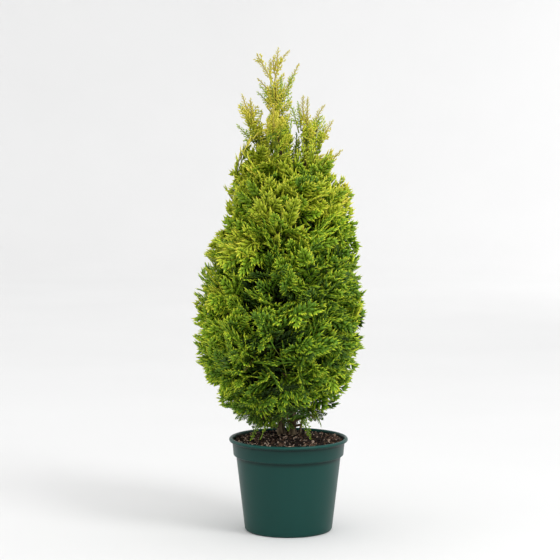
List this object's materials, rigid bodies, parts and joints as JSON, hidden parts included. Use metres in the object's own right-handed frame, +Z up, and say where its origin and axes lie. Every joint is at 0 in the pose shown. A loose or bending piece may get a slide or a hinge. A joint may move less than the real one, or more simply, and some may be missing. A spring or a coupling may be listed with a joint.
{
  "type": "potted arborvitae",
  "caption": "Young dwarf arborvitae with a dense spindle-shaped crown of flat sprays, in a round dark green nursery pot of potting mix.",
  "frame": {"origin": "centre of the pot's flat underside", "axes": "+Z up along the pot's axis, -Y towards the side that the picture shows, +X to the picture's right"},
  "size_m": [0.3999, 0.4028, 1.1387],
  "materials": {
    "pot": "satin moulded plastic",
    "potting_mix": "damp bark and peat",
    "bark": "rough bark",
    "foliage": "waxy scale leaves"
  },
  "bodies": {
    "root": {"bough_back_spire": "bark", "bough_far_right_spire": "bark", "bough_front_spire": "bark", "bough_left_spire": "bark", "bough_lower_back": "bark", "bough_lower_back_left": "bark", "bough_lower_front": "bark", "bough_lower_front_left": "bark", "bough_middle_back": "bark", "bough_middle_back_right": "bark", "bough_middle_front": "bark", "bough_middle_front_right": "bark", "bough_middle_left": "bark", "bough_shoulder_back_left": "bark", "bough_shoulder_back_right": "bark", "bough_shoulder_front_left": "bark", "bough_shoulder_front_right": "bark", "bough_skirt_back_left": "bark", "bough_skirt_back_right": "bark", "bough_skirt_front_left": "bark", "bough_skirt_front_right": "bark", "bough_upper_back": "bark", "bough_upper_front": "bark", "bough_upper_left": "bark", "bough_upper_right": "bark", "foliage_back_spire": "foliage", "foliage_far_right_spire": "foliage", "foliage_front_spire": "foliage", "foliage_leader": "foliage", "foliage_left_spire": "foliage", "foliage_lower_back": "foliage", "foliage_lower_back_left": "foliage", "foliage_lower_front": "foliage", "foliage_lower_front_left": "foliage", "foliage_lower_right": "foliage", "foliage_middle_back": "foliage", "foliage_middle_back_right": "foliage", "foliage_middle_front": "foliage", "foliage_middle_front_right": "foliage", "foliage_middle_left": "foliage", "foliage_right_spire": "foliage", "foliage_shoulder_back_left": "foliage", "foliage_shoulder_back_right": "foliage", "foliage_shoulder_front_left": "foliage", "foliage_shoulder_front_right": "foliage", "foliage_skirt_back_left": "foliage", "foliage_skirt_back_right": "foliage", "foliage_skirt_front_left": "foliage", "foliage_skirt_front_right": "foliage", "foliage_upper_back": "foliage", "foliage_upper_front": "foliage", "foliage_upper_left": "foliage", "foliage_upper_right": "foliage", "pot": "pot", "potting_mix": "potting_mix", "side_stem": "bark", "thin_stem": "bark", "trunk": "bark"}
  },
  "joints": []
}
